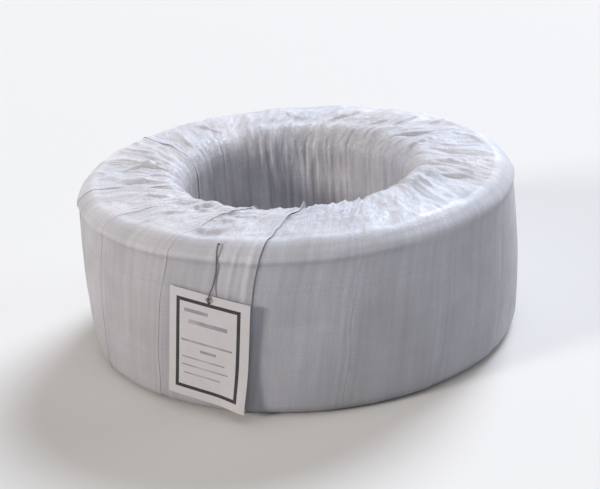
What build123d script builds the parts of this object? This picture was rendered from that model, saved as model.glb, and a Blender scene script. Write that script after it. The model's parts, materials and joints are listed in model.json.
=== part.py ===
from build123d import *
import os
from math import cos, radians, sin, tan

# Coil of galvanized wire, tied in four places, wrapped in a strip of woven plastic and
# labelled with a paper tag on a twine. Millimetres, +Z up. The origin is on the floor on the
# coil's axis, the front is towards -Y, and an angle is measured from the front towards +X.

# Wrapped coil
COIL_D = 480.0  # over the wrap, at half height
COIL_HEIGHT = 184.0
BORE_D = 248.0  # the straight wall of the bore
WALL_BULGE = 4.0  # the wall stands out this much more at half height than at its ends
EDGE_R = 14.0  # the outer edges
RIM_R = 24.0  # the rims of the bore

# Wrap, a strip wound through the bore and round the wall, each turn lapped over the last
WRAP_WALL = 1.2
TURNS = 15
LAP_WIDTH = 40.0
LAP_RISE = 0.8
LAP_LEAN = 10.0  # degrees, of the strip across the wall
FIRST_LAP = -18.2  # degrees, the middle of the lap that reaches the tag's right, at half height

# Wire and the ties that hold its turns together
WIRE_SLACK = 0.3  # between the wire and what lies against it
TIES = 4
TIE_WIDTH = 6.4
TIE_THICK = 3.2
FIRST_TIE = 30.0  # degrees

# Tag
TAG_WIDTH = 90.0
TAG_LENGTH = 120.0
TAG_THICK = 0.6
TAG_CORNER_R = 2.0
TAG_BOW_R = 1200.0  # the card is bowed a little, the same way as the wall
TAG_HOLE_D = 3.0
TAG_HOLE_INSET = 8.0  # from the top edge
TAG_CONTACT = 23.0  # from the left edge to the line that touches the wall
TAG_CONTACT_ANGLE = -29.0  # degrees
TAG_TOUCH = 78.0  # height where the tag's middle touches the wall
TAG_LEAN = 7.0  # degrees, its foot to the left
TAG_SEAT = 0.3  # between the tag and the wrap

# Twine, from where it comes out of the wrap's edge to the hole in the tag.
# Each point is an angle from the front, a distance from the axis and a height.
TWINE_D = 1.6
TWINE_ROUTE = [
    (-19.2, 234.7, 179.7),
    (-19.3, 239.6, 183.9),
    (-19.4, 245.6, 182.6),
    (-19.6, 248.2, 176.8),
    (-19.9, 246.8, 168.9),
    (-20.3, 244.7, 160.2),
    (-20.8, 243.4, 151.6),
    (-21.3, 243.7, 143.7),
    (-21.8, 245.0, 136.7),
    (-22.2, 246.0, 130.3),
    (-22.3, 242.4, 126.9),
]


def around(angle, radius, height):
    """The point at an angle from the front, a distance from the axis and a height."""
    return Vector(radius * sin(radians(angle)), -radius * cos(radians(angle)), height)


def facing(angle, radius=0.0, height=0.0):
    """The place on the coil at that angle, with X along the wall, Y inwards and Z up."""
    return Location(around(angle, radius, height), (0, 0, angle))


def coil_section(grow=0.0):
    """The wrapped coil's section, bulging at the wall and round at its edges, grown all round."""
    bore_r = BORE_D / 2 - grow
    wall_mid = COIL_D / 2 + grow
    wall_end = wall_mid - WALL_BULGE
    foot, head = -grow, COIL_HEIGHT + grow
    wall = ThreePointArc((wall_end, foot), (wall_mid, COIL_HEIGHT / 2), (wall_end, head))
    ends = Polyline((wall_end, head), (bore_r, head), (bore_r, foot), (wall_end, foot))
    section = make_face(wall + ends)
    section = fillet(section.vertices().sort_by(Axis.X)[2:], EDGE_R + grow)
    return fillet(section.vertices().sort_by(Axis.X)[:2], RIM_R + grow)


def ring(grow=0.0):
    """The whole ring that the section makes about the coil's axis, grown all round."""
    return revolve(Plane.XZ * coil_section(grow), Axis.Z)


def across(count, first, slab):
    """Copies of a slab that stands on the front side, spread evenly round the coil's axis."""
    return [facing(first + 360 / count * i) * slab for i in range(count)]


def tie_slabs(width):
    """One upright slab for each tie, across one side of the coil."""
    slab = Pos(0, -COIL_D / 4, COIL_HEIGHT / 2) * Box(width, COIL_D / 2, 2 * COIL_HEIGHT)
    return across(TIES, FIRST_TIE, slab)


def wire_ring(depth=0.0):
    """The ring of wound wire, or of what lies that deep inside it."""
    return ring(-(WRAP_WALL + WIRE_SLACK + depth))


def wire_coil():
    """The wound wire as one ring, with a groove where each tie draws its turns in."""
    coil = wire_ring()
    core = wire_ring(TIE_THICK + WIRE_SLACK)
    return coil - [(coil & slab) - core for slab in tie_slabs(TIE_WIDTH + 2 * WIRE_SLACK)]


def binding_ties():
    """The ties, each round the coil's section and flush with the wire."""
    outside = wire_ring()
    inside = wire_ring(TIE_THICK)
    return [(outside & slab) - inside for slab in tie_slabs(TIE_WIDTH)]


def lap_slabs():
    """One leaning slab for each turn of the strip, where it lies over the last one."""
    reach = COIL_D / 2 + EDGE_R
    slab = Pos(0, -reach / 2, 0) * Box(LAP_WIDTH, reach, 2 * COIL_HEIGHT)
    leaning = Pos(0, 0, COIL_HEIGHT / 2) * Rot(0, LAP_LEAN, 0) * slab
    return across(TURNS, FIRST_LAP, leaning)


def woven_wrap():
    """The wrap: a closed skin all round the coil, its laps raised but where they lie flat."""
    off_the_floor = Pos(0, 0, COIL_HEIGHT) * Cylinder(COIL_D, 2 * COIL_HEIGHT)
    bore = Cylinder(BORE_D / 2, 3 * COIL_HEIGHT)
    lapped = (ring(LAP_RISE) & off_the_floor) - bore
    outside = ring() + [lapped & slab for slab in lap_slabs()]
    return outside - ring(-WRAP_WALL)


def tag():
    """The paper tag, bowed a little and leaning, with its hole at the top."""
    to_middle = TAG_WIDTH / 2 - TAG_CONTACT
    card = Pos(to_middle, 0) * RectangleRounded(TAG_WIDTH, TAG_LENGTH, TAG_CORNER_R)
    card -= Pos(to_middle, TAG_LENGTH / 2 - TAG_HOLE_INSET) * Circle(TAG_HOLE_D / 2)
    outline = extrude(Plane.XZ * card, TAG_WIDTH / 2, both=True)
    bow = Cylinder(TAG_BOW_R + TAG_THICK, 2 * TAG_LENGTH) - Cylinder(TAG_BOW_R, 2 * TAG_LENGTH)
    bowed = outline & (Pos(0, TAG_BOW_R, 0) * bow)
    wall = COIL_D / 2 + TAG_SEAT
    return facing(TAG_CONTACT_ANGLE, wall, TAG_TOUCH) * Rot(0, TAG_LEAN, 0) * bowed


def twine_path():
    """The twine's middle line: straight runs with an arc at each corner."""
    points = [around(*place) for place in TWINE_ROUTE]
    radii = []
    for before, corner, after in zip(points, points[1:], points[2:]):
        run_in, run_out = corner - before, after - corner
        turn = radians(run_in.get_angle(run_out))
        radii.append(0.45 * min(run_in.length, run_out.length) / tan(turn / 2))
    print("twine radii, mm:", [round(r, 1) for r in radii])
    return FilletPolyline(*points, radius=radii)


def tag_twine():
    """The twine as a round tube along its path."""
    path = twine_path()
    start = Plane(origin=path @ 0, z_dir=path % 0)
    tube = sweep(start * Circle(TWINE_D / 2), path=path)
    print("twine length, mm:", round(path.length, 1))
    plain = Circle(TWINE_D / 2).area * path.length
    print("tube volume over section times length:", round(tube.volume / plain, 4))
    return tube


def save(name, shape):
    """Write one node's solids to parts/."""
    pieces = shape if isinstance(shape, list) else [shape]
    solids = [solid for piece in pieces for solid in piece.solids()]
    export_step(Compound(solids), f"parts/{name}.step")


os.makedirs("parts", exist_ok=True)
save("wire_coil", wire_coil())
save("binding_ties", binding_ties())
save("woven_wrap", woven_wrap())
save("tag", tag())
save("tag_twine", tag_twine())
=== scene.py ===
"""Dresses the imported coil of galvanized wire: its woven wrap, the tag and the tag's twine.

Metres, +Z up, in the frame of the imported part. An angle is measured in degrees from the front,
which is towards -Y, and grows towards +X. How the wrap lies is worked out in millimetres.
"""

from __future__ import annotations

import json
import logging
import math
from dataclasses import dataclass

import bmesh
import bpy
from mathutils import Matrix, Vector, noise

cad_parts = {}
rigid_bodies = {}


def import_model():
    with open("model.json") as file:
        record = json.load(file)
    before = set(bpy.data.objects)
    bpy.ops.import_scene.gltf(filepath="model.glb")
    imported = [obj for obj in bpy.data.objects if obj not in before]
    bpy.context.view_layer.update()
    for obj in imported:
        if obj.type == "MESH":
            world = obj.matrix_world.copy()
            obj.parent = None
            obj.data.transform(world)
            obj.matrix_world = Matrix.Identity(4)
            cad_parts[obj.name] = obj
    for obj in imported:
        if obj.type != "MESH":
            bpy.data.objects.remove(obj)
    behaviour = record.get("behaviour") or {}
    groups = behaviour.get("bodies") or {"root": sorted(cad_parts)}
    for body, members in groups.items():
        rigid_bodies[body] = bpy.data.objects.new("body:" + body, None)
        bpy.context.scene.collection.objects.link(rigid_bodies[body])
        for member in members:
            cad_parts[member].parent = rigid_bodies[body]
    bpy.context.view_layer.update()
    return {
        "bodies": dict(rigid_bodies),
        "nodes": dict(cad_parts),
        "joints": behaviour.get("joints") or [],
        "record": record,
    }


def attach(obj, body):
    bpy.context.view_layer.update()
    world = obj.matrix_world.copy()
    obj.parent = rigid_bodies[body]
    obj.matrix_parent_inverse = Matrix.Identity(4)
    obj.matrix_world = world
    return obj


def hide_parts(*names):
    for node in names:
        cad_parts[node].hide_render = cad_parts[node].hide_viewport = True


LOG = logging.getLogger("wire_coil")
MM = 0.001
BODY = "root"
# The values that the wrap's vertices carry for its material, which paints light and shade from most of
# them.
WRAP_LAYERS = ("fold", "rumple", "tone_and_side_light", "lap_shadow", "edge_light", "streaks")

Colour = tuple[float, float, float, float]
Box = tuple[float, float, float, float]  # left, right, foot and head, in millimetres
Ramp = tuple[float, float, float, float]  # a range, and what its two ends become
Socket = bpy.types.NodeSocket
Sockets = bpy.types.bpy_prop_collection


def around(angle: float, radius: float, height: float) -> Vector:
    """Find a point from its place round the coil's axis.

    Args:
        angle: Degrees from the front.
        radius: Distance from the axis, in metres.
        height: Height above the floor, in metres.

    Returns:
        The point in the part's frame.
    """
    turn = math.radians(angle)
    return Vector((radius * math.sin(turn), -radius * math.cos(turn), height))


def looking(eye: Vector, target: Vector) -> Matrix:
    """The place of a lamp or a camera that stands at the eye and looks at the target."""
    return Matrix.Translation(eye) @ (target - eye).to_track_quat("-Z", "Y").to_matrix().to_4x4()


def smooth(low: float, high: float, value: float) -> float:
    """Rise smoothly from 0 at low to 1 at high."""
    share = min(1.0, max(0.0, (value - low) / (high - low)))
    return share * share * (3.0 - 2.0 * share)


def place_object(name: str, data: bpy.types.ID) -> bpy.types.Object:
    """Put a new object into the scene.

    Args:
        name: The object's name.
        data: Its mesh, curve, light or camera.

    Returns:
        The object, at the origin.
    """
    made = bpy.data.objects.new(name, data)
    bpy.context.scene.collection.objects.link(made)
    return made


def finish_mesh(bm: bmesh.types.BMesh, name: str, material: bpy.types.Material) -> bpy.types.Object:
    """Turn a finished bmesh into an object.

    Args:
        bm: The bmesh, which is freed.
        name: The name of the mesh and the object.
        material: What the piece is made of.

    Returns:
        The piece's object.
    """
    mesh = bpy.data.meshes.new(name)
    bm.to_mesh(mesh)
    bm.free()
    mesh.materials.append(material)
    return place_object(name, mesh)


def lay_flat(bm: bmesh.types.BMesh, layer: bmesh.types.BMLayerItem, flat: dict) -> None:
    """Shade a sheet smooth but for its outline and give it the coordinates of its flat cut.

    Args:
        bm: The sheet.
        layer: The UV layer to fill.
        flat: Each vertex's place on the flat cut, in metres.
    """
    for face in bm.faces:
        face.smooth = True
        for loop in face.loops:
            loop[layer].uv = flat[loop.vert]
    for edge in bm.edges:
        edge.smooth = not edge.is_boundary


def thicken(sheet: bpy.types.Object, thickness: float, offset: float) -> None:
    """Give a sheet its thickness.

    Args:
        sheet: The sheet's object.
        thickness: In metres.
        offset: 1 for the side that the faces point to, and -1 for the other.
    """
    wall = sheet.modifiers.new("thickness", "SOLIDIFY")
    wall.thickness = thickness
    wall.offset = offset


@dataclass(frozen=True)
class Rise:
    """A share that rises smoothly from 0 at one value to 1 at another."""

    low: float
    high: float

    def at(self, value: float) -> float:
        """Read the share at a value."""
        return smooth(self.low, self.high, value)


@dataclass(frozen=True)
class Stretch:
    """A share that rises from 0 to 1 over one part of the way and falls again over another."""

    comes: Rise
    goes: Rise

    def at(self, travel: float) -> float:
        """Read the share at one place."""
        return self.comes.at(travel) * (1 - self.goes.at(travel))


@dataclass(frozen=True)
class Hump:
    """A bell that stands highest at its middle and falls away over its width."""

    middle: float
    width: float
    height: float = 1.0

    def at(self, value: float) -> float:
        """Read the bell's height at a value."""
        return self.height * math.exp(-(((value - self.middle) / self.width) ** 2))


@dataclass(frozen=True)
class Pattern:
    """An uneven pattern over a sheet, with cells of its own size across and along it."""

    across: float
    along: float
    seed: float = 0.0
    weight: float = 1.0
    sharpness: float = 2.4  # how narrow a crest is
    steepness: float = 2.6  # how steep the sides of a crumpled bowl are

    def _read(self, x: float, y: float, seed: float) -> float:
        """Read the plain noise, from about -1 to 1."""
        return noise.noise(Vector((x / self.across, y / self.along, seed + self.seed)))

    def wave(self, x: float, y: float, seed: float = 0.0) -> float:
        """Soft hills and hollows, from about -1 to 1 times the weight."""
        return self.weight * self._read(x, y, seed)

    def crest(self, x: float, y: float, seed: float = 0.0) -> float:
        """Sharp folds, from 0 on the flat cloth between them to the weight on a crest."""
        return self.weight * max(0.0, 1.0 - self.sharpness * abs(self._read(x, y, seed))) ** 1.5

    def crumpled(self, x: float, y: float, seed: float = 0.0) -> float:
        """Sharp creases with bowls between them, from about -0.5 to 1 times the weight."""
        return self.weight * (1.0 - self.steepness * abs(self._read(x, y, seed)))


@dataclass(frozen=True)
class Course:
    """A value that changes smoothly on the way round the section, given at a few places."""

    places: tuple[tuple[float, float], ...]

    def at(self, travel: float) -> float:
        """Read the value at one place.

        Args:
            travel: The way gone round the section, in millimetres.

        Returns:
            The value there, on a smooth curve through the given places.
        """
        points = self.places
        if travel <= points[0][0]:
            return points[0][1]
        for index in range(1, len(points)):
            if travel <= points[index][0]:
                break
        else:
            return points[-1][1]
        (x0, y0), (x1, y1) = points[index - 1], points[index]
        span = x1 - x0
        t = (travel - x0) / span
        return (
            (2 * t**3 - 3 * t**2 + 1) * y0
            + (t**3 - 2 * t**2 + t) * span * self._slope(index - 1)
            + (3 * t**2 - 2 * t**3) * y1
            + (t**3 - t**2) * span * self._slope(index)
        )

    def _slope(self, index: int) -> float:
        """Find the curve's slope at a given place.

        Args:
            index: Which of the places.

        Returns:
            The slope, flat at both ends and where the value turns back.
        """
        if index in (0, len(self.places) - 1):
            return 0.0
        (x0, y0), (x1, y1), (x2, y2) = self.places[index - 1 : index + 2]
        before = (y1 - y0) / (x1 - x0)
        after = (y2 - y1) / (x2 - x1)
        return 0.0 if before * after <= 0 else 2 * before * after / (before + after)


@dataclass(frozen=True)
class SectionPoint:
    """A place on the coil's section and the way out of the coil there."""

    radius: float
    height: float
    out_radius: float
    out_height: float


@dataclass(frozen=True)
class CoilSection:
    """The wrapped coil's section, walked from the middle of its foot up the bore and over."""

    wall_radius: float = 236 * MM
    height: float = 184 * MM
    bore_radius: float = 124 * MM
    edge_radius: float = 14 * MM
    rim_radius: float = 24 * MM
    bulge: float = 4 * MM
    low_bulge: float = 1.6 * MM  # added to it, mostly below the middle

    @property
    def flat(self) -> float:
        """Width of the flat ring between the rim and the outer edge."""
        return self.wall_radius - self.edge_radius - self.bore_radius - self.rim_radius

    @property
    def length(self) -> float:
        """The way once round the section."""
        straights = 2 * self.height - 2 * self.edge_radius - 2 * self.rim_radius
        return math.pi * (self.edge_radius + self.rim_radius) + straights + 2 * self.flat

    def at(self, travel: float) -> SectionPoint:
        """Find a place on the section.

        Args:
            travel: The way gone, in metres, from the middle of the foot.

        Returns:
            The place and the way out of the coil there.
        """
        rim, edge, top, flat = self.rim_radius, self.edge_radius, self.height, self.flat
        rim_at = self.bore_radius + rim
        edge_at = self.wall_radius - edge
        quarter = math.pi / 2
        stages = (
            (flat / 2, lambda gone: SectionPoint(rim_at + flat / 2 - gone, 0.0, 0.0, -1.0)),
            (rim * quarter, lambda gone: self._corner(rim_at, rim, rim, -quarter - gone / rim)),
            (top - 2 * rim, lambda gone: SectionPoint(self.bore_radius, rim + gone, -1.0, 0.0)),
            (rim * quarter, lambda gone: self._corner(rim_at, top - rim, rim, math.pi - gone / rim)),
            (flat, lambda gone: SectionPoint(rim_at + gone, top, 0.0, 1.0)),
            (edge * quarter, lambda gone: self._corner(edge_at, top - edge, edge, quarter - gone / edge)),
            (top - 2 * edge, lambda gone: self._wall(top - edge - gone)),
            (edge * quarter, lambda gone: self._corner(edge_at, edge, edge, -gone / edge)),
            (math.inf, lambda gone: SectionPoint(edge_at - gone, 0.0, 0.0, -1.0)),
        )
        left = travel
        for length, place in stages:
            if left <= length:
                break
            left -= length
        return place(left)

    def _corner(self, radius: float, height: float, bend: float, angle: float) -> SectionPoint:
        """Find a place on a rounded corner, with the wall's swelling let in at the outer edges.

        Args:
            radius: Distance of the bend's centre from the axis.
            height: Its height.
            bend: The bend's own radius.
            angle: Radians round the bend from the way straight outwards.

        Returns:
            The place and the way out of the coil there.
        """
        out_r, out_z = math.cos(angle), math.sin(angle)
        z = height + bend * out_z
        swell = self._swell(z) * max(0.0, out_r) if radius > self.bore_radius + self.rim_radius else 0.0
        return SectionPoint(radius + bend * out_r + swell, z, out_r, out_z)

    def _wall(self, z: float) -> SectionPoint:
        """The place on the wall at a height."""
        return SectionPoint(self.wall_radius + self._swell(z), z, 1.0, 0.0)

    def _swell(self, z: float) -> float:
        """Find how far the wall stands out, a little more below the middle than above.

        Args:
            z: Height above the floor.

        Returns:
            The distance from the straight wall, which is 0 at both ends.
        """
        share = z / self.height
        even = 4 * share * (1 - share)
        return self.bulge * even + self.low_bulge * even * (1 - share)


@dataclass(frozen=True)
class Tuck:
    """A crease on the coil's top where the cloth doubles over: a slow rise, then a sudden drop."""

    angle: float  # degrees from the front, at the middle of the crease
    radius: float  # from the axis to that middle, in millimetres
    length: float  # millimetres
    heading: float  # degrees, from the way outwards towards growing angles, with the drop beside it
    height: float  # millimetres
    rise: float = 11.0  # width of the slow side, in millimetres
    drop: float = 2.4  # width of the sudden side, in millimetres
    bend: float = 0.06  # how far the crease winds to either side, as a share of the way along it
    bend_length: float = 9.0  # millimetres

    def lift(self, angle: float, radius: float) -> float:
        """Find the height of the crease at one place.

        Args:
            angle: The place's angle, in degrees.
            radius: Its distance from the axis, in millimetres.

        Returns:
            How far the crease lifts the cloth there, in millimetres.
        """
        outwards = radius - self.radius
        sideways = math.radians((angle - self.angle + 180.0) % 360.0 - 180.0) * radius
        if abs(outwards) + abs(sideways) > self.length + 2 * self.rise:
            return 0.0
        turn = math.radians(self.heading)
        along = outwards * math.cos(turn) + sideways * math.sin(turn)
        across = sideways * math.cos(turn) - outwards * math.sin(turn)
        across += self.bend * along * math.sin(along / self.bend_length)
        step = smooth(-self.rise, 0.0, across) * (1.0 - smooth(0.0, self.drop, across))
        return self.height * step * math.exp(-((2 * along / self.length) ** 4))


@dataclass(frozen=True)
class Row:
    """One row of a strip's grid, with every value that only depends on the way gone."""

    travel: float
    place: SectionPoint
    lean: float
    lap: float
    base: float
    rise: float
    gather: float
    crumple: float
    facet: float
    # Painted light round the top's outer edge, from 0 to 1.
    edge_light: float


@dataclass(frozen=True)
class StripLay:
    """How the wrapping strip lies: its turns, its lean, its laps and its slack.

    Each course runs from the middle of the foot up the bore, over the top and down the wall.
    """

    turns: int = 15
    first_edge: float = -13.4  # the edge beside the tag, at half height
    lean: Course = Course(
        (
            (0, 19.5), (37, 19.4), (75, 19.2), (211, 18.8), (234, 17.3), (248, 15.2), (278, 9.3),
            (315, 5.9), (344, 3.7), (381, 1.4), (422, 0.0), (480, -2.1), (500, -2.9), (522, -3.6),
            (560, -4.5),
        )
    )  # degrees from that edge's place at half height
    lap: Course = Course(
        ((0, 11.5), (75, 13.5), (211, 13.5), (248, 12.5), (322, 9.8), (560, 9.6))
    )  # degrees that a turn lies over the next
    base: Course = Course(
        (
            (0, -1.25), (37, -1.2), (75, -0.3), (211, 0.0), (262, -0.7), (314, -0.8), (321, 0.1),
            (333, -0.7), (344, 1.6), (351, -0.4), (500, -0.4), (522, -0.9), (540, -1.25), (560, -1.25),
        )
    )  # millimetres out of the section, of the side that lies under the next turn
    rise: Course = Course(
        (
            (0, 0.9), (37, 0.9), (75, 1.0), (211, 1.1), (322, 0.95), (344, 0.8), (500, 0.8),
            (522, 0.85), (540, 0.9), (560, 0.9),
        )
    )  # millimetres that the side that shows lies further out
    gather: Course = Course(
        (
            (0, 0.0), (20, 0.1), (37, 0.3), (75, 1.4), (140, 2.2), (211, 3.6), (232, 4.6), (262, 4.6),
            (286, 3.7), (308, 2.6), (320, 1.4), (344, 0.5), (380, 0.5), (500, 0.4), (522, 0.3),
            (545, 0.0), (560, 0.0),
        )
    )  # height of the gathered folds, in millimetres
    crumple: Course = Course(
        (
            (0, 0.0), (37, 0.1), (75, 0.4), (211, 0.9), (248, 2.4), (286, 3.0), (308, 2.6), (319, 1.8),
            (328, 0.3), (344, 0.2), (420, 0.1), (500, 0.1), (540, 0.0), (560, 0.0),
        )
    )  # height of the crumpling, in millimetres
    facet: Course = Course(
        ((0, 0.0), (322, 0.0), (350, 0.12), (495, 0.12), (522, 0.0), (560, 0.0))
    )  # how far a turn is pulled straight between its laps, as a share

    @property
    def pitch(self) -> float:
        """Degrees from one turn's edge to the next."""
        return 360.0 / self.turns

    @property
    def courses(self) -> tuple[Course, ...]:
        """The courses in the order that a row holds them in."""
        return (self.lean, self.lap, self.base, self.rise, self.gather, self.crumple, self.facet)

    def facet_depth(self, to_edge: float, row: Row, wall_radius: float) -> float:
        """Find how far a turn is pulled straight between its laps.

        Args:
            to_edge: Degrees from the turn's edge.
            row: The row.
            wall_radius: The wall's distance from the axis, in millimetres.

        Returns:
            How far the cloth lies inside the round wall, in millimetres.
        """
        half = self.pitch / 2
        off_middle = (to_edge + half + half) % self.pitch - half
        sagitta = 1.0 - math.cos(math.radians(half)) / math.cos(math.radians(off_middle))
        return row.facet * sagitta * wall_radius


@dataclass(frozen=True)
class Folds:
    """The gathered folds of each turn and the crumpling of its slack cloth.

    The patterns' cells are in millimetres across and along the strip.
    """

    # One value for each turn: how far its crumpling is dragged sideways, and how deep its folds
    # and its painted streaks of light and shade are in the bore.
    drag: tuple[float, ...] = (
        0.75, 0.7, 0.5, 0.3, 0.2, 0.3, 0.45, 0.5, 0.4, 0.3, 0.15, 0.1, 0.25, 0.6, 0.75,
    )
    bore_pleats: tuple[float, ...] = (
        1.0, 1.0, 0.8, 0.5, 0.35, 0.35, 0.5, 1.0, 1.0, 0.5, 0.45, 0.6, 0.8, 0.9, 1.0,
    )
    plain_pleats: float = 0.15  # how much of the bore's painted streaks of light and shade the rest of a turn shows
    folds_leave_bore: Rise = Rise(215, 262)
    pleat_light_leaves_bore: Rise = Rise(200, 245)

    degree: float = 4.19  # millimetres on the wall
    turn_seed: float = 11.3
    first_seed: float = 3.7

    bend: Pattern = Pattern(70, 50, 5.1, weight=12.0)  # draws the other patterns out of line
    pleats: Pattern = Pattern(32, 90, sharpness=2.1)
    small_pleats: Pattern = Pattern(13, 60, 1.9, weight=0.3)
    small_bend: float = 0.6
    slack: Pattern = Pattern(45, 60, 8.8, weight=0.7)
    mean_slack: float = 0.55
    least_slack: float = 0.15

    least_crumple: float = 0.05  # millimetres
    upright: Pattern = Pattern(36, 80, 2.6)  # along the strip
    dragged: Pattern = Pattern(85, 30, 3.3)  # across it
    fine: Pattern = Pattern(15, 36, 7.1, weight=0.32)
    hollows: Pattern = Pattern(48, 40, 4.4, weight=0.7)
    drape: Pattern = Pattern(30, 90, 6.2)  # also where the cloth is pulled flat
    drape_height: float = 0.35  # millimetres

    pucker: Pattern = Pattern(13, 110, 90.4, sharpness=2.2)  # beside the edge at the tag, under the top
    pucker_height: float = 1.6
    pucker_near: Rise = Rise(-11, -4)
    pucker_way: Stretch = Stretch(Rise(312, 334), Rise(385, 425))

    def streaks(self, turn: int, travel: float) -> float:
        """Find how strongly a turn is painted with streaks of light and shade along its pleats.

        Args:
            turn: Which turn.
            travel: The way gone round the section, in millimetres.

        Returns:
            A share, the turn's own in the bore and a small one elsewhere.
        """
        out_of_bore = self.pleat_light_leaves_bore.at(travel)
        return self.bore_pleats[turn] * (1 - out_of_bore) + self.plain_pleats * out_of_bore

    def height(self, turn: int, to_edge: float, row: Row) -> float:
        """Find the height of the folds of one turn.

        Args:
            turn: The turn whose folds are read.
            to_edge: Degrees from that turn's edge, with its own cloth below 0.
            row: The row.

        Returns:
            The height in millimetres above the cloth that is pulled flat.
        """
        seed = self.turn_seed * turn + self.first_seed
        x, y = to_edge * self.degree, row.travel
        bend = self.bend.wave(x, y, seed)
        pleat = self.pleats.crest(x + bend, y, seed)
        pleat += self.small_pleats.crest(x + self.small_bend * bend, y, seed)
        slack = self.mean_slack + self.slack.wave(x, y, seed)
        height = row.gather * max(self.least_slack, slack) * pleat
        height *= 1.0 - (1.0 - self.bore_pleats[turn]) * (1.0 - self.folds_leave_bore.at(y))
        if row.crumple > self.least_crumple:
            drag = self.drag[turn]
            creased = (1 - drag) * self.upright.crumpled(x + 2 * bend, y + bend, seed)
            creased += drag * self.dragged.crumpled(x + bend, y + 0.9 * bend, seed)
            creased += self.fine.crumpled(x - bend, y + 0.5 * x, seed)
            creased += self.hollows.wave(x, y, seed)
            height += row.crumple * max(0.0, 0.5 + creased)
        height += self.drape_height * (0.5 + self.drape.wave(x, y, seed))
        if turn == 0:
            puckered = self.pucker_near.at(to_edge) * self.pucker_way.at(y)
            height += self.pucker_height * puckered * self.pucker.crest(x, y)
        return height


@dataclass(frozen=True)
class FreeEdge:
    """How the free edge of a turn stands off what it lies on and strays from a clean line."""

    stand_off: tuple[float, ...] = (
        0.8, 0.12, 0.06, 0.25, 0.12, 0.4, 0.2, 0.1, 0.45, 0.15, 0.4, 0.5, 0.15, 0.1, 0.05,
    )  # how loose each turn's edge is, which also sets the painted shadow beside it
    near: Rise = Rise(-1.6, 0.0)  # degrees from the edge
    off_foot: Stretch = Stretch(Rise(20, 75), Rise(500, 530))
    on_wall: Rise = Rise(300, 350)
    unevenness: Pattern = Pattern(38, 1, 31.0)
    turn_step: float = 1.7
    least_lift: float = 0.55  # millimetres
    more_lift: float = 0.8
    usual_lift: float = 0.4
    hem: Hump = Hump(-1.9, 0.45, 0.2)  # a ridge where the edge is turned in
    front_hem: Hump = Hump(-1.5, 1.0, 1.7)  # beside the tag
    flap: Hump = Hump(240, 6, 8.0)  # at the bore's front rim
    flap_width: Rise = Rise(-3.4, 0.0)

    waver: Pattern = Pattern(55, 1, 47.0)
    waver_step: float = 2.3
    waver_size: float = 0.9  # degrees
    waver_way: Stretch = Stretch(Rise(10, 60), Rise(500, 550))

    def lip(self, turn: int, to_edge: float, travel: float, gap: float) -> float:
        """Find how far the cloth stands off beside its turn's free edge.

        Args:
            turn: Which turn.
            to_edge: Degrees from the edge, with the turn's own cloth below 0.
            travel: The way gone round the section, in millimetres.
            gap: How far a closed edge has to move to lie on the turn below, in millimetres.

        Returns:
            How far the cloth moves outwards there, in millimetres.
        """
        loose = self.stand_off[turn]
        near = self.near.at(to_edge)
        on_wall = self.on_wall.at(travel)
        uneven = max(0.0, self.usual_lift + self.unevenness.wave(travel, turn * self.turn_step))
        lift = self.least_lift + self.more_lift * uneven
        lift *= 0.5 + 0.5 * on_wall
        hem = self.hem.at(to_edge)
        if turn == 0:
            lift += self.flap.at(travel) * self.flap_width.at(to_edge) ** 1.5
            hem += self.front_hem.at(to_edge) * on_wall
        return gap * near * (1.0 - loose) + self.off_foot.at(travel) * (loose * lift * near + hem)

    def stray(self, turn: int, travel: float) -> float:
        """How far the free edge of a turn strays from a clean line at one place, in degrees."""
        return self.waver_way.at(travel) * self.waver_size * self.waver.wave(travel, turn * self.waver_step)


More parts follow.
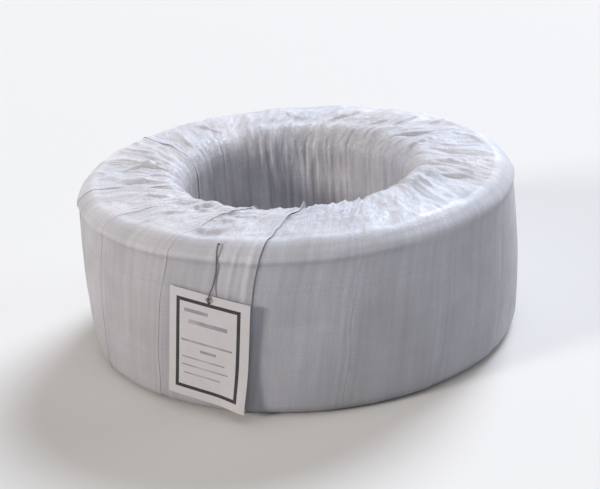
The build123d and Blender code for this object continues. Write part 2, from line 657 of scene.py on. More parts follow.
@dataclass
class WovenWrap:
    """The woven plastic strip, wound through the bore and round the wall in lapping turns."""

    section: CoilSection = CoilSection()
    lay: StripLay = StripLay()
    folds: Folds = Folds()
    edge: FreeEdge = FreeEdge()
    thickness: float = 0.2 * MM
    width: float = 140 * MM
    columns: int = 80
    rows_at: tuple[tuple[float, int], ...] = (
        (37, 5), (75, 9), (211, 31), (248, 22), (322, 44),
        (344, 14), (356, 8), (500, 30), (522, 7), (559.4, 5),
    )  # millimetres gone and the rows up to there
    strip_tones_and_side_light: tuple[float, ...] = (
        0.42, 0.75, 0.9, 0.6, 0.8, 0.45, 0.62, 0.35, 0.7, 0.5, 0.28, 0.55, 0.2, 0.3, 0.1,
    )  # from cool to warm: a random tone for each turn, with the turns on the left painted warm and those on the right cool as painted side light
    edge_light: Stretch = Stretch(Rise(317, 322), Rise(343, 347))  # the band round the top's outer edge, made lighter as painted light
    shoulder: Pattern = Pattern(11, 1, 12.0, weight=0.9)  # an uneven ridge where that band ends
    shoulder_way: Hump = Hump(343, 6)
    tucks: tuple[Tuck, ...] = (
        Tuck(-81, 174, 22, -20, 2.6), Tuck(-73, 160, 72, -34, 1.6), Tuck(-61, 167, 26, -38, 3.0),
        Tuck(-43, 186, 34, -50, 1.8), Tuck(-24, 158, 42, -70, 2.4), Tuck(-19, 136, 20, 240, 2.6),
        Tuck(-38, 160, 24, -88, 2.1, 7, 1.8), Tuck(-26, 206, 36, -86, 1.8, 7, 1.8),
        Tuck(-25, 184, 28, -97, 2.0, 7, 1.8), Tuck(-18, 168, 30, -94, 2.2, 8, 2.0),
        Tuck(17, 218, 30, 163, 1.5), Tuck(36, 172, 38, 140, 2.0), Tuck(58, 154, 24, 77, 2.4),
        Tuck(65, 178, 56, 178, 2.8), Tuck(80, 196, 40, 196, 2.0), Tuck(98, 188, 46, 159, 2.8),
        Tuck(104, 206, 56, 110, 2.2), Tuck(106, 150, 40, 195, 2.8), Tuck(125, 206, 30, 172, 2.0),
        Tuck(133, 184, 50, 176, 2.6), Tuck(148, 170, 36, 205, 2.0), Tuck(163, 192, 44, 160, 1.8),
        Tuck(180, 174, 50, 20, 2.0), Tuck(197, 198, 36, -25, 1.8), Tuck(214, 178, 48, 10, 2.4),
        Tuck(231, 160, 34, -30, 2.4), Tuck(246, 196, 52, -12, 2.6), Tuck(262, 168, 42, 15, 2.8),
        Tuck(268, 206, 36, -28, 2.2),
    )
    tucks_fade: Rise = Rise(290, 316)
    tuck_loss: float = 0.3  # how much of a tuck is pulled flat towards the outer edge
    least_gather: float = 0.3  # millimetres, where there are tucks
    least_upward: float = 0.4  # how far the cloth faces up there, of 1
    own_cloth: Rise = Rise(-0.2, 1.5)  # degrees from the edge above, where a turn's own folds begin
    waver_near: Rise = Rise(-4.0, 0.0)
    lap_gap: float = 0.04  # millimetres left between two turns
    # Painted shade: the cloth just beside the edge of the turn above is painted darker, more where that
    # edge stands off further.
    lap_shadow_start: float = -1.6  # degrees from the edge above
    lap_shadow_reach: float = 0.9
    deepest: float = -0.8  # millimetres out of the section
    full_fold: float = 5.0  # millimetres of height that the finish takes as a whole fold
    full_gather: float = 4.8  # the same for the gather and the finish's rumpling
    least_height: float = 0.1 * MM  # above the floor

    def build(self, material: bpy.types.Material) -> list[bpy.types.Object]:
        """Make every turn of the strip.

        Args:
            material: The woven plastic.

        Returns:
            One object for each turn.
        """
        rows = self._rows()
        turns = []
        for turn in range(self.lay.turns):
            strip = self._strip(turn, rows, material)
            turns.append(strip)
            LOG.info("wrap turn %d of %d: %d faces", turn + 1, self.lay.turns, len(strip.data.polygons))
        return turns

    def _rows(self) -> list[Row]:
        """Space the rows of the grid, closer together where the strip is gathered.

        Returns:
            The rows in the order of the way round the section.
        """
        travels = [0.0]
        start = 0.0
        for end, count in self.rows_at:
            travels += [start + (end - start) * (i + 1) / count for i in range(count)]
            start = end
        last = self.section.length / MM
        courses = self.lay.courses
        return [
            Row(
                travel, self.section.at(min(travel, last) * MM),
                *(course.at(travel) for course in courses), self.edge_light.at(travel),
            )
            for travel in travels
        ]

    def _strip(self, turn: int, rows: list[Row], material: bpy.types.Material) -> bpy.types.Object:
        """Make one turn of the strip from a flat grid that is laid on the section.

        Args:
            turn: Which turn, counted from the one whose edge is beside the tag.
            rows: The grid's rows.
            material: The woven plastic.

        Returns:
            The turn's object.
        """
        bm = bmesh.new()
        uv_layer = bm.loops.layers.uv.new("strip")
        layers = [bm.verts.layers.float.new(name) for name in WRAP_LAYERS]
        bmesh.ops.create_grid(bm, x_segments=self.columns, y_segments=len(rows) - 1, size=1.0)
        flat: dict[bmesh.types.BMVert, tuple[float, float]] = {}
        tone_and_side_light = self.strip_tones_and_side_light[turn]
        for vert in bm.verts:
            across = 0.5 + vert.co.x / 2
            row = rows[round((0.5 + vert.co.y / 2) * (len(rows) - 1))]
            flat[vert] = (across * self.width, row.travel * MM)
            angle, out, fold, lap_shadow = self._lie(turn, across, row)
            radius = row.place.radius + out * MM * row.place.out_radius
            height = row.place.height + out * MM * row.place.out_height
            vert.co = around(angle, radius, height)
            vert.co.z = max(vert.co.z, self.least_height)
            rumple, streaks = row.gather / self.full_gather, self.folds.streaks(turn, row.travel)
            for layer, value in zip(layers, (fold, rumple, tone_and_side_light, lap_shadow, row.edge_light, streaks)):
                vert[layer] = value
        lay_flat(bm, uv_layer, flat)
        bmesh.ops.reverse_faces(bm, faces=bm.faces[:])
        strip = finish_mesh(bm, f"wrap_turn_{turn + 1:02d}", material)
        thicken(strip, self.thickness, -1.0)
        return strip

    def _lie(self, turn: int, across: float, row: Row) -> tuple[float, float, float, float]:
        """Lay one point of a strip on the coil.

        Args:
            turn: Which turn.
            across: From 0 at the side that lies under the next turn to 1 at the side that shows.
            row: The point's row.

        Returns:
            Its angle in degrees, how far it lies out of the section in millimetres, its fold from
            0 to 1, and how dark the painted shadow beside the edge of the turn above is there, from 0 to 1.
        """
        lay = self.lay
        above = (turn + 1) % lay.turns
        to_edge = -(lay.pitch + row.lap) * (1.0 - across)
        under = to_edge + lay.pitch  # from the edge of the turn that lies over this one
        own_share = self.own_cloth.at(under)
        fold = 0.0
        if own_share > 0:
            fold += own_share * self.folds.height(turn, to_edge, row)
        if own_share < 1:
            fold += (1 - own_share) * self.folds.height(above, under, row)
        angle = lay.first_edge - lay.pitch * turn + row.lean + to_edge
        if row.gather > self.least_gather and row.place.out_height > self.least_upward:
            lift = sum(tuck.lift(angle, row.place.radius / MM) for tuck in self.tucks)
            fold += lift * (1.0 - self.tuck_loss * self.tucks_fade.at(row.travel))
        out = row.base + row.rise * across + fold
        out -= lay.facet_depth(to_edge, row, self.section.wall_radius / MM)
        step = row.rise * lay.pitch / (lay.pitch + row.lap)  # from one turn to the one over it
        out += self.edge.lip(turn, to_edge, row.travel, self.thickness / MM + self.lap_gap - step)
        angle += self.edge.stray(turn, row.travel) * self.waver_near.at(to_edge)
        out += self.shoulder.wave(angle, 0.5) * self.shoulder_way.at(row.travel)
        # Painted shadow beside the edge of the turn above.
        lap_shadow = 0.0
        if under > self.lap_shadow_start:
            lap_shadow = self.edge.stand_off[above] * math.exp(-max(0.0, under) / self.lap_shadow_reach)
        return angle, max(self.deepest, out), min(1.0, max(0.0, fold / self.full_fold)), lap_shadow


@dataclass
class HangTag:
    """The paper tag, bowed and leaning, that hangs against the wall."""

    width: float = 90 * MM
    length: float = 120 * MM
    thickness: float = 0.5 * MM
    bow_radius: float = 1200 * MM
    hole_diameter: float = 3 * MM
    hole_inset: float = 8 * MM
    hole_cut: float = 0.52  # how far the hole's corners are cut back at first, in diameters
    contact: float = 23 * MM  # from the left edge to the line that touches the wall
    contact_angle: float = -29.0
    touch_height: float = 78 * MM
    wall_radius: float = 242.0 * MM
    lean: float = 7.0  # degrees, its foot to the left
    curl: float = 5.5 * MM  # of the lower right corner, off the wall
    curl_way: Rise = Rise(0.0, 0.5)  # from the middle, in widths and lengths
    ripple: Pattern = Pattern(40 * MM, 50 * MM, 71.0, weight=0.5 * MM)
    ripple_way: Rise = Rise(0.15, 0.4)
    columns: int = 36
    rows: int = 50

    def build(self, material: bpy.types.Material) -> bpy.types.Object:
        """Make the tag.

        Args:
            material: The printed card.

        Returns:
            The tag's object.
        """
        bm = bmesh.new()
        uv_layer = bm.loops.layers.uv.new("card")
        bmesh.ops.create_grid(bm, x_segments=self.columns, y_segments=self.rows, size=0.5)
        for vert in bm.verts:
            vert.co.x *= self.width
            vert.co.y *= self.length
        self._punch_hole(bm)
        left, foot = -self.width / 2, -self.length / 2
        lay_flat(bm, uv_layer, {vert: (vert.co.x - left, vert.co.y - foot) for vert in bm.verts})
        for vert in bm.verts:
            vert.co = self._bend(vert.co.x, vert.co.y)
        turn = Matrix.Rotation(math.radians(self.contact_angle), 4, "Z")
        lean = Matrix.Rotation(math.radians(self.lean), 4, "Y")
        place = Matrix.Translation(around(self.contact_angle, self.wall_radius, self.touch_height))
        bmesh.ops.transform(bm, matrix=place @ turn @ lean, verts=bm.verts[:])
        tag = finish_mesh(bm, "paper_tag", material)
        thicken(tag, self.thickness, 1.0)
        return tag

    def _punch_hole(self, bm: bmesh.types.BMesh) -> None:
        """Open the round hole at the top of the card.

        Args:
            bm: The flat card.
        """
        centre = Vector((0.0, self.length / 2 - self.hole_inset, 0.0))
        nearest = min(bm.verts, key=lambda vert: (vert.co - centre).length)
        nearest.co = centre
        made = bmesh.ops.bevel(
            bm, geom=[nearest], offset=self.hole_diameter * self.hole_cut, offset_type="OFFSET", segments=4,
            profile=0.5, affect="VERTICES", material=-1,
        )
        ring = set(made["verts"])
        for vert in ring:
            vert.co = centre + (vert.co - centre).normalized() * self.hole_diameter / 2
        holes = [face for face in bm.faces if all(vert in ring for vert in face.verts)]
        bmesh.ops.delete(bm, geom=holes, context="FACES")

    def _bend(self, x: float, y: float) -> Vector:
        """Bow a point of the flat card.

        Args:
            x: Place across the card from its middle.
            y: Place up the card from its middle.

        Returns:
            The point with the card's contact line on the Z axis and the coil towards +Y.
        """
        from_contact = x + self.width / 2 - self.contact
        inwards = from_contact**2 / (2 * self.bow_radius)
        curl = self.curl * (self.curl_way.at(x / self.width) * self.curl_way.at(-y / self.length)) ** 1.5
        ripple = self.ripple.wave(x, y) * self.ripple_way.at(abs(x) / self.width)
        return Vector((from_contact, inwards - curl + ripple, y))


@dataclass
class TagTwine:
    """The dark twine that comes out of the wrap's edge and holds the tag."""

    diameter: float = 1.6 * MM
    length: float = 71 * MM
    route: tuple[tuple[float, float, float], ...] = (
        (-20.0, 0.2275, 0.1815),
        (-20.0, 0.2296, 0.1868),
        (-19.9, 0.2356, 0.1824),
        (-19.9, 0.2390, 0.1762),
        (-20.0, 0.2400, 0.1686),
        (-20.3, 0.2392, 0.1602),
        (-20.8, 0.2399, 0.1516),
        (-21.3, 0.2410, 0.1437),
        (-22.0, 0.2464, 0.1358),
        (-22.45, 0.2475, 0.1268),
        (-22.33, 0.2420, 0.1268),
    )  # angle, distance from the axis and height
    knot_place: tuple[float, float, float] = (-22.25, 0.2469, 0.1318)
    knot_loops: tuple[tuple[float, float], ...] = (
        (20.0, 1.5 * MM), (-30.0, 1.3 * MM), (75.0, 1.2 * MM),
    )  # tilt in degrees and radius
    knot_side_tilt: float = 0.6  # in tilts
    knot_strand: float = 0.46  # the strand's radius in a loop, in diameters of the twine

    @property
    def exit(self) -> Vector:
        """Where the twine comes out of the wrap."""
        return around(*self.route[0])

    def build(self, material: bpy.types.Material) -> bpy.types.Object:
        """Make the twine as one smooth curve with a round section.

        Args:
            material: The twine's fibre.

        Returns:
            The twine's object.
        """
        curve = bpy.data.curves.new("twine", "CURVE")
        curve.dimensions = "3D"
        curve.bevel_depth = self.diameter / 2
        curve.bevel_resolution = 3
        curve.resolution_u = 8
        curve.use_fill_caps = True
        spline = curve.splines.new("NURBS")
        spline.points.add(len(self.route) - 1)
        for point, place in zip(spline.points, self.route):
            point.co = (*around(*place), 1.0)
        spline.order_u = 3
        spline.use_endpoint_u = True
        curve.materials.append(material)
        return place_object("twine", curve)

    def knot(self, material: bpy.types.Material) -> bpy.types.Object:
        """Make the small knot just above the tag's hole.

        Args:
            material: The twine's fibre.

        Returns:
            The knot's object.
        """
        bm = bmesh.new()
        centre = Matrix.Translation(around(*self.knot_place))
        for tilt, radius in self.knot_loops:
            loop = bmesh.new()
            bmesh.ops.create_circle(loop, segments=10, radius=self.diameter * self.knot_strand)
            bmesh.ops.rotate(loop, verts=loop.verts[:], matrix=Matrix.Rotation(math.pi / 2, 3, "X"))
            bmesh.ops.translate(loop, verts=loop.verts[:], vec=(radius, 0, 0))
            bmesh.ops.spin(
                loop, geom=loop.verts[:] + loop.edges[:], cent=(0, 0, 0), axis=(0, 0, 1), angle=2 * math.pi,
                steps=16, use_merge=True,
            )
            bmesh.ops.remove_doubles(loop, verts=loop.verts[:], dist=1e-6)
            bmesh.ops.recalc_face_normals(loop, faces=loop.faces[:])
            forwards = Matrix.Rotation(math.radians(tilt), 4, "X")
            sideways = Matrix.Rotation(math.radians(tilt * self.knot_side_tilt), 4, "Y")
            bmesh.ops.transform(loop, matrix=centre @ (forwards @ sideways), verts=loop.verts[:])
            part = bpy.data.meshes.new("knot_loop")
            loop.to_mesh(part)
            loop.free()
            bm.from_mesh(part)
            bpy.data.meshes.remove(part)
        for face in bm.faces:
            face.smooth = True
        return finish_mesh(bm, "twine_knot", material)


class Graph:
    """A node tree that is written as short calls."""

    def __init__(self, tree: bpy.types.NodeTree) -> None:
        """Keep the tree that the calls add to."""
        self.tree = tree

    def node(self, kind: str, inputs: dict | None = None, **settings: object) -> bpy.types.Node:
        """Add a node.

        Args:
            kind: Blender's name for the node's type.
            inputs: Values or sockets for its inputs, by name or number.
            settings: The node's own properties.

        Returns:
            The node.
        """
        made = self.tree.nodes.new(kind)
        for name, value in settings.items():
            setattr(made, name, value)
        for name, value in (inputs or {}).items():
            self.feed(made.inputs[name], value)
        return made

    def feed(self, socket: Socket, value: object) -> None:
        """Link a socket to an input, or set the input's own value.

        Args:
            socket: The input.
            value: What it gets, a socket or a plain value.
        """
        if isinstance(value, Socket):
            self.tree.links.new(value, socket)
        else:
            socket.default_value = value

    def math(self, operation: str, *values: object, clamp: bool = False) -> Socket:
        """Add a Math node and return its result."""
        made = self.node("ShaderNodeMath", dict(enumerate(values)), operation=operation, use_clamp=clamp)
        return made.outputs[0]

    def product(self, *factors: object) -> Socket:
        """Multiply values with one another.

        Args:
            factors: Sockets or plain values.

        Returns:
            The product's socket.
        """
        total = factors[0]
        for factor in factors[1:]:
            total = self.math("MULTIPLY", total, factor)
        return total

    def choose(self, share: object, first: object, second: object) -> Socket:
        """Mix two plain values and return the result."""
        return self.node("ShaderNodeMix", {0: share, 2: first, 3: second}, data_type="FLOAT").outputs[0]

    def blend(self, share: object, first: object, second: object, mode: str = "MIX") -> Socket:
        """Mix two colours.

        Args:
            share: How much of the second colour.
            first: The first colour.
            second: The second colour.
            mode: Blender's name for the way they mix.

        Returns:
            The mixed colour's socket.
        """
        made = self.node("ShaderNodeMix", data_type="RGBA", blend_type=mode)
        for number, value in ((0, share), (6, first), (7, second)):
            self.feed(made.inputs[number], value)
        return made.outputs[2]

    def ramp(
        self, value: Socket, low: object, high: object, start: float = 0.0, end: float = 1.0
    ) -> Socket:
        """Carry a value smoothly from the range between low and high to that between start and end."""
        inputs = {0: value, 1: low, 2: high, 3: start, 4: end}
        return self.node("ShaderNodeMapRange", inputs, interpolation_type="SMOOTHSTEP").outputs[0]

    def cloud(self, vector: Socket, scale: object, detail: float = 3.0, roughness: float = 0.5) -> Socket:
        """Add soft noise from 0 to 1, with that many cells in a metre."""
        inputs = {"Vector": vector, "Scale": scale, "Detail": detail, "Roughness": roughness}
        return self.node("ShaderNodeTexNoise", inputs).outputs[0]

    def stretch(self, vector: Socket, scale: tuple[float, float, float]) -> Socket:
        """Scale coordinates along each axis."""
        return self.node("ShaderNodeVectorMath", {0: vector, 1: scale}, operation="MULTIPLY").outputs[0]

    def attribute(self, name: str) -> Socket:
        """Read a value that the mesh carries at its vertices."""
        return self.node("ShaderNodeAttribute", attribute_name=name).outputs["Fac"]

    def object_place(self) -> Socket:
        """Read the Object coordinates."""
        return self.node("ShaderNodeTexCoord").outputs["Object"]

    def effect(self, group: bpy.types.NodeTree, inputs: dict) -> Sockets:
        """Place a shared effect with its own values and return its outputs."""
        return self.node("ShaderNodeGroup", inputs, node_tree=group).outputs

    def seen(self) -> Socket:
        """1 for what the camera sees, straight or mirrored, and 0 for what only lights the scene."""
        path = self.node("ShaderNodeLightPath").outputs
        return self.math("MAXIMUM", path["Is Camera Ray"], path["Is Glossy Ray"])

    def dress(
        self, shader: bpy.types.Node, colour: Socket, rough: Socket, height: Socket, strength: float,
        depth: float,
    ) -> None:
        """Feed a Principled shader with a finish.

        Args:
            shader: The shader.
            colour: Its colour.
            rough: Its roughness.
            height: The height of its bumps.
            strength: How strongly they show.
            depth: How deep they are, in metres.
        """
        bump = self.node("ShaderNodeBump", {"Height": height, "Strength": strength, "Distance": depth})
        self.feed(shader.inputs["Base Color"], colour)
        self.feed(shader.inputs["Roughness"], rough)
        self.feed(shader.inputs["Normal"], bump.outputs[0])


def new_group(
    name: str, inputs: dict[str, str], outputs: tuple[str, ...],
) -> tuple[Graph, Sockets, Sockets]:
    """Start a shader node group.

    Args:
        name: The group's name.
        inputs: Each input's name and socket type.
        outputs: The names of its outputs, which are all plain values.

    Returns:
        The group's graph, what it is given and the inputs of its output node.
    """
    tree = bpy.data.node_groups.new(name, "ShaderNodeTree")
    for label, kind in inputs.items():
        tree.interface.new_socket(name=label, in_out="INPUT", socket_type=kind)
    for label in outputs:
        tree.interface.new_socket(name=label, in_out="OUTPUT", socket_type="NodeSocketFloat")
    graph = Graph(tree)
    return graph, graph.node("NodeGroupInput").outputs, graph.node("NodeGroupOutput").inputs


class SurfaceEffects:
    """The effects that several finishes share, each built once as a node group."""

    tape_edge: float = 6.0  # how squarely a tape ends at its sides
    tape_swell: float = 0.6  # how much of its height it gains over a neighbour
    row_seed: float = 500.5  # keeps the shades of the rows off those of the columns
    crease_warp: float = 0.02  # how far the creases are drawn out of line, in metres
    crease_width: float = 0.07
    grime_edge: float = 0.6
    grime_softness: float = 0.25

    def __init__(self) -> None:
        """Build the groups."""
        self.weave = self._weave()
        self.creases = self._creases()
        self.grime = self._grime()

    def _weave(self) -> bpy.types.NodeTree:
        """Build flat tapes woven over and under each other.

        Returns:
            The node group.
        """
        inputs = {"Place": "NodeSocketVector", "Tapes per metre": "NodeSocketFloat"}
        graph, given, result = new_group("tape_weave", inputs, ("Height", "Tape"))
        scaling = {0: given["Place"], "Scale": given["Tapes per metre"]}
        scaled = graph.node("ShaderNodeVectorMath", scaling, operation="SCALE").outputs[0]
        split = graph.node("ShaderNodeSeparateXYZ", {0: scaled}).outputs
        lines, flats, swells = [], [], []
        for axis in split[:2]:
            across = graph.math("MULTIPLY_ADD", graph.math("FRACT", axis), 2.0, -1.0)
            off_middle = graph.math("ABSOLUTE", across)
            lines.append(graph.math("FLOOR", axis))
            flats.append(graph.math("SUBTRACT", 1.0, graph.math("POWER", off_middle, self.tape_edge)))
            swells.append(graph.math("SUBTRACT", 1.0, graph.math("POWER", off_middle, 2.0)))
        over = graph.math("MODULO", graph.math("ABSOLUTE", graph.math("ADD", *lines)), 2.0)
        tapes = [
            graph.product(flat, graph.math("MULTIPLY_ADD", swell, self.tape_swell, 1 - self.tape_swell))
            for flat, swell in zip(flats, reversed(swells))
        ]
        shades = [
            graph.node("ShaderNodeTexWhiteNoise", {"W": line}, noise_dimensions="1D").outputs[0]
            for line in (lines[0], graph.math("ADD", lines[1], self.row_seed))
        ]
        graph.feed(result["Height"], graph.choose(over, *tapes))
        graph.feed(result["Tape"], graph.choose(over, *shades))
        return graph.tree

    def _creases(self) -> bpy.types.NodeTree:
        """Build fine sharp creases in sheet material, where it is rumpled.

        Returns:
            The node group.
        """
        inputs = {"Place": "NodeSocketVector", "Scale": "NodeSocketFloat", "Amount": "NodeSocketFloat"}
        graph, given, result = new_group("fine_creases", inputs, ("Height",))
        place, scale = given["Place"], given["Scale"]
        coarse = {"Vector": place, "Scale": graph.math("MULTIPLY", scale, 0.4), "Detail": 2.0}
        warp = graph.node("ShaderNodeTexNoise", coarse).outputs[1]
        pull = graph.stretch(warp, (self.crease_warp,) * 3)
        moved = graph.node("ShaderNodeVectorMath", {0: place, 1: pull}, operation="ADD").outputs[0]
        off_zero = graph.math("ABSOLUTE", graph.math("SUBTRACT", graph.cloud(moved, scale, 2.5, 0.55), 0.5))
        ridge = graph.ramp(off_zero, 0.0, self.crease_width, 1.0, 0.0)
        graph.feed(result["Height"], graph.product(ridge, given["Amount"]))
        return graph.tree

    def _grime(self) -> bpy.types.NodeTree:
        """Build soft patches of handling dirt.

        Returns:
            The node group.
        """
        inputs = {"Place": "NodeSocketVector", "Scale": "NodeSocketFloat", "Spread": "NodeSocketFloat"}
        graph, given, result = new_group("handling_grime", inputs, ("Mask",))
        patch = graph.cloud(given["Place"], given["Scale"], 5.0, 0.62)
        edge = graph.math("SUBTRACT", 1.0, given["Spread"])
        low = graph.math("MULTIPLY", edge, self.grime_edge)
        high = graph.math("MULTIPLY_ADD", edge, self.grime_edge, self.grime_softness)
        graph.feed(result["Mask"], graph.ramp(patch, low, high))
        return graph.tree


def start_material(name: str) -> tuple[bpy.types.Material, Graph, bpy.types.Node]:
    """Start a material with an empty Principled shader.

    Args:
        name: The material's name.

    Returns:
        The material, its graph and the shader node.
    """
    material = bpy.data.materials.new(name)
    material.use_nodes = True
    return material, Graph(material.node_tree), material.node_tree.nodes["Principled BSDF"]


@dataclass(frozen=True)
class Streaks:
    """Uneven shading over a sheet, drawn out along or across it."""

    cells: tuple[float, float]  # in a metre, across and along
    detail: float
    roughness: float
    reach: tuple[float, float] = (0.0, 1.0)  # the part of the noise that is carried to the shades
    shades: tuple[float, float] = (0.0, 1.0)

    def cloud(self, graph: Graph, uv: Socket) -> Socket:
        """Build the plain noise, from 0 to 1."""
        return graph.cloud(graph.stretch(uv, (*self.cells, 1.0)), 1.0, self.detail, self.roughness)

    def shade(self, graph: Graph, uv: Socket) -> Socket:
        """Build the shade to multiply a colour with."""
        return graph.ramp(self.cloud(graph, uv), *self.reach, *self.shades)


@dataclass(frozen=True)
class Dirt:
    """Handling dirt of one colour, in patches."""

    colour: Colour
    share: float
    patches: float  # in a metre
    spread: float

    def mask(self, graph: Graph, effects: SurfaceEffects, place: Socket) -> Socket:
        """Build the patches, from 0 where it is clean to 1."""
        inputs = {"Place": place, "Scale": self.patches, "Spread": self.spread}
        return graph.effect(effects.grime, inputs)["Mask"]

    def over(self, graph: Graph, mask: Socket, colour: Socket) -> Socket:
        """Lay the patches over a colour."""
        return graph.blend(graph.product(mask, self.share), colour, self.colour)


@dataclass(frozen=True)
class WovenPlastic:
    """Off-white woven plastic tape, a little shiny, with handling dirt and painted light and shade on its
    folds, laps, pleats, outer edge and two sides.
    """

    # The two ends of each turn's colour; the turns on the left lean warm and those on the right cool, as
    # painted side light.
    warm: Colour = (0.73, 0.7, 0.715, 1.0)
    cool: Colour = (0.635, 0.65, 0.72, 1.0)
    # Painted shade: the bluish colour laid into the hollows of the folds, and how much of it.
    fold_shadow_colour: Colour = (0.52, 0.55, 0.62, 1.0)
    fold_shadow_share: float = 0.62
    grime: Dirt = Dirt((0.42, 0.37, 0.34, 1.0), 0.22, 9.0, 0.33)
    specks: Dirt = Dirt((0.66, 0.52, 0.49, 1.0), 0.14, 46.0, 0.22)

    tapes_per_metre: float = 420.0
    tape_shades: tuple[float, float] = (0.08, 0.94)  # the range and the darkest
    faint: Streaks = Streaks((160.0, 6.0), 2.0, 0.6, (0.25, 0.75), (0.95, 1.03))
    # Painted light and shade in streaks along the pleats.
    pleat_light_streaks: Streaks = Streaks((90.0, 5.0), 3.0, 0.6, (0.3, 0.7), (0.68, 1.16))
    broad: Streaks = Streaks((30.0, 2.0), 2.0, 0.5, (0.3, 0.7), (0.95, 1.02))
    # Painted shadow beside a lifted lap edge, as the darkest share of the cloth's colour.
    lap_shadow_darkest: float = 0.66
    # Painted light: how much lighter the band round the top's outer edge is painted.
    edge_light_gain: float = 1.13
    # Painted light and shade: fold crests lighter, fold hollows darker; then where the painted bluish shade
    # lies in the hollows.
    fold_light_and_shadow: Ramp = (0.0, 0.6, 0.88, 1.045)
    fold_shadow: Ramp = (0.0, 0.3, 1.0, 0.0)

    roughness: float = 0.42
    dirt_roughness: float = 0.2  # on top of it
    tape_roughness: float = 0.06
    creases: float = 150.0  # in a metre
    bump: float = 0.8
    weave_depth: float = 0.11  # millimetres
    crease_depth: float = 0.62
    dent_depth: float = 0.9
    dents: Streaks = Streaks((70.0, 26.0), 3.0, 0.55)

    def make(self, effects: SurfaceEffects) -> bpy.types.Material:
        """Build the material.

        Args:
            effects: The shared node groups.

        Returns:
            The woven plastic.
        """
        material, graph, shader = start_material("woven_plastic")
        uv = graph.node("ShaderNodeUVMap", uv_map="strip").outputs[0]
        place = graph.object_place()
        fold, rumple, tone_and_side_light, lap_shadow, edge_light, pleat_light_amount = (graph.attribute(name) for name in WRAP_LAYERS)
        weave = graph.effect(effects.weave, {"Place": uv, "Tapes per metre": self.tapes_per_metre})
        creases = graph.effect(effects.creases, {"Place": uv, "Scale": self.creases, "Amount": rumple})
        grime = self.grime.mask(graph, effects, place)
        specks = self.specks.mask(graph, effects, place)

        # Painted light and shade in streaks along the pleats, as strong as each turn's share.
        pleat_light_streaks = graph.math("SUBTRACT", self.pleat_light_streaks.shade(graph, uv), 1.0)
        # The cloth's shade: weave and random tone, with painted light and shade on the pleats, beside the
        # laps, on the folds and round the top's outer edge.
        shade = graph.product(
            graph.math("MULTIPLY_ADD", weave["Tape"], *self.tape_shades),
            self.faint.shade(graph, uv),
            # painted streaks of light and shade along the pleats
            graph.math("MULTIPLY_ADD", pleat_light_streaks, pleat_light_amount, 1.0),
            # painted shadow beside the edge of the turn above
            graph.ramp(lap_shadow, 0.0, 1.0, 1.0, self.lap_shadow_darkest),
            # painted light on the fold crests and painted shade in their hollows
            graph.ramp(fold, *self.fold_light_and_shadow),
            # painted light on the band round the top's outer edge
            graph.ramp(edge_light, 0.0, 1.0, 1.0, self.edge_light_gain),
            self.broad.shade(graph, uv),
        )
        # Painted shade: the folds' hollows take the bluish shade colour, more where the cloth is rumpled.
        fold_shadow = graph.product(graph.ramp(fold, *self.fold_shadow), rumple, self.fold_shadow_share)
        # The cloth's colour between cool and warm from each turn's tone and painted side light, with the
        # painted shade in the folds' hollows.
        cloth = graph.blend(fold_shadow, graph.blend(tone_and_side_light, self.cool, self.warm), self.fold_shadow_colour)
        cloth = self.grime.over(graph, grime, cloth)
        cloth = self.specks.over(graph, specks, cloth)
        tint = graph.node("ShaderNodeCombineColor", {0: shade, 1: shade, 2: shade}).outputs[0]
        rough = graph.math("MULTIPLY_ADD", grime, self.dirt_roughness, self.roughness)
        rough = graph.math("MULTIPLY_ADD", weave["Tape"], self.tape_roughness, rough)
        creased = graph.product(creases["Height"], self.crease_depth)
        height = graph.math("ADD", graph.product(weave["Height"], self.weave_depth), creased)
        height = graph.math("MULTIPLY_ADD", self.dents.cloud(graph, uv), self.dent_depth, height)
        graph.dress(shader, graph.blend(1.0, cloth, tint, "MULTIPLY"), rough, height, self.bump, MM)
        return material


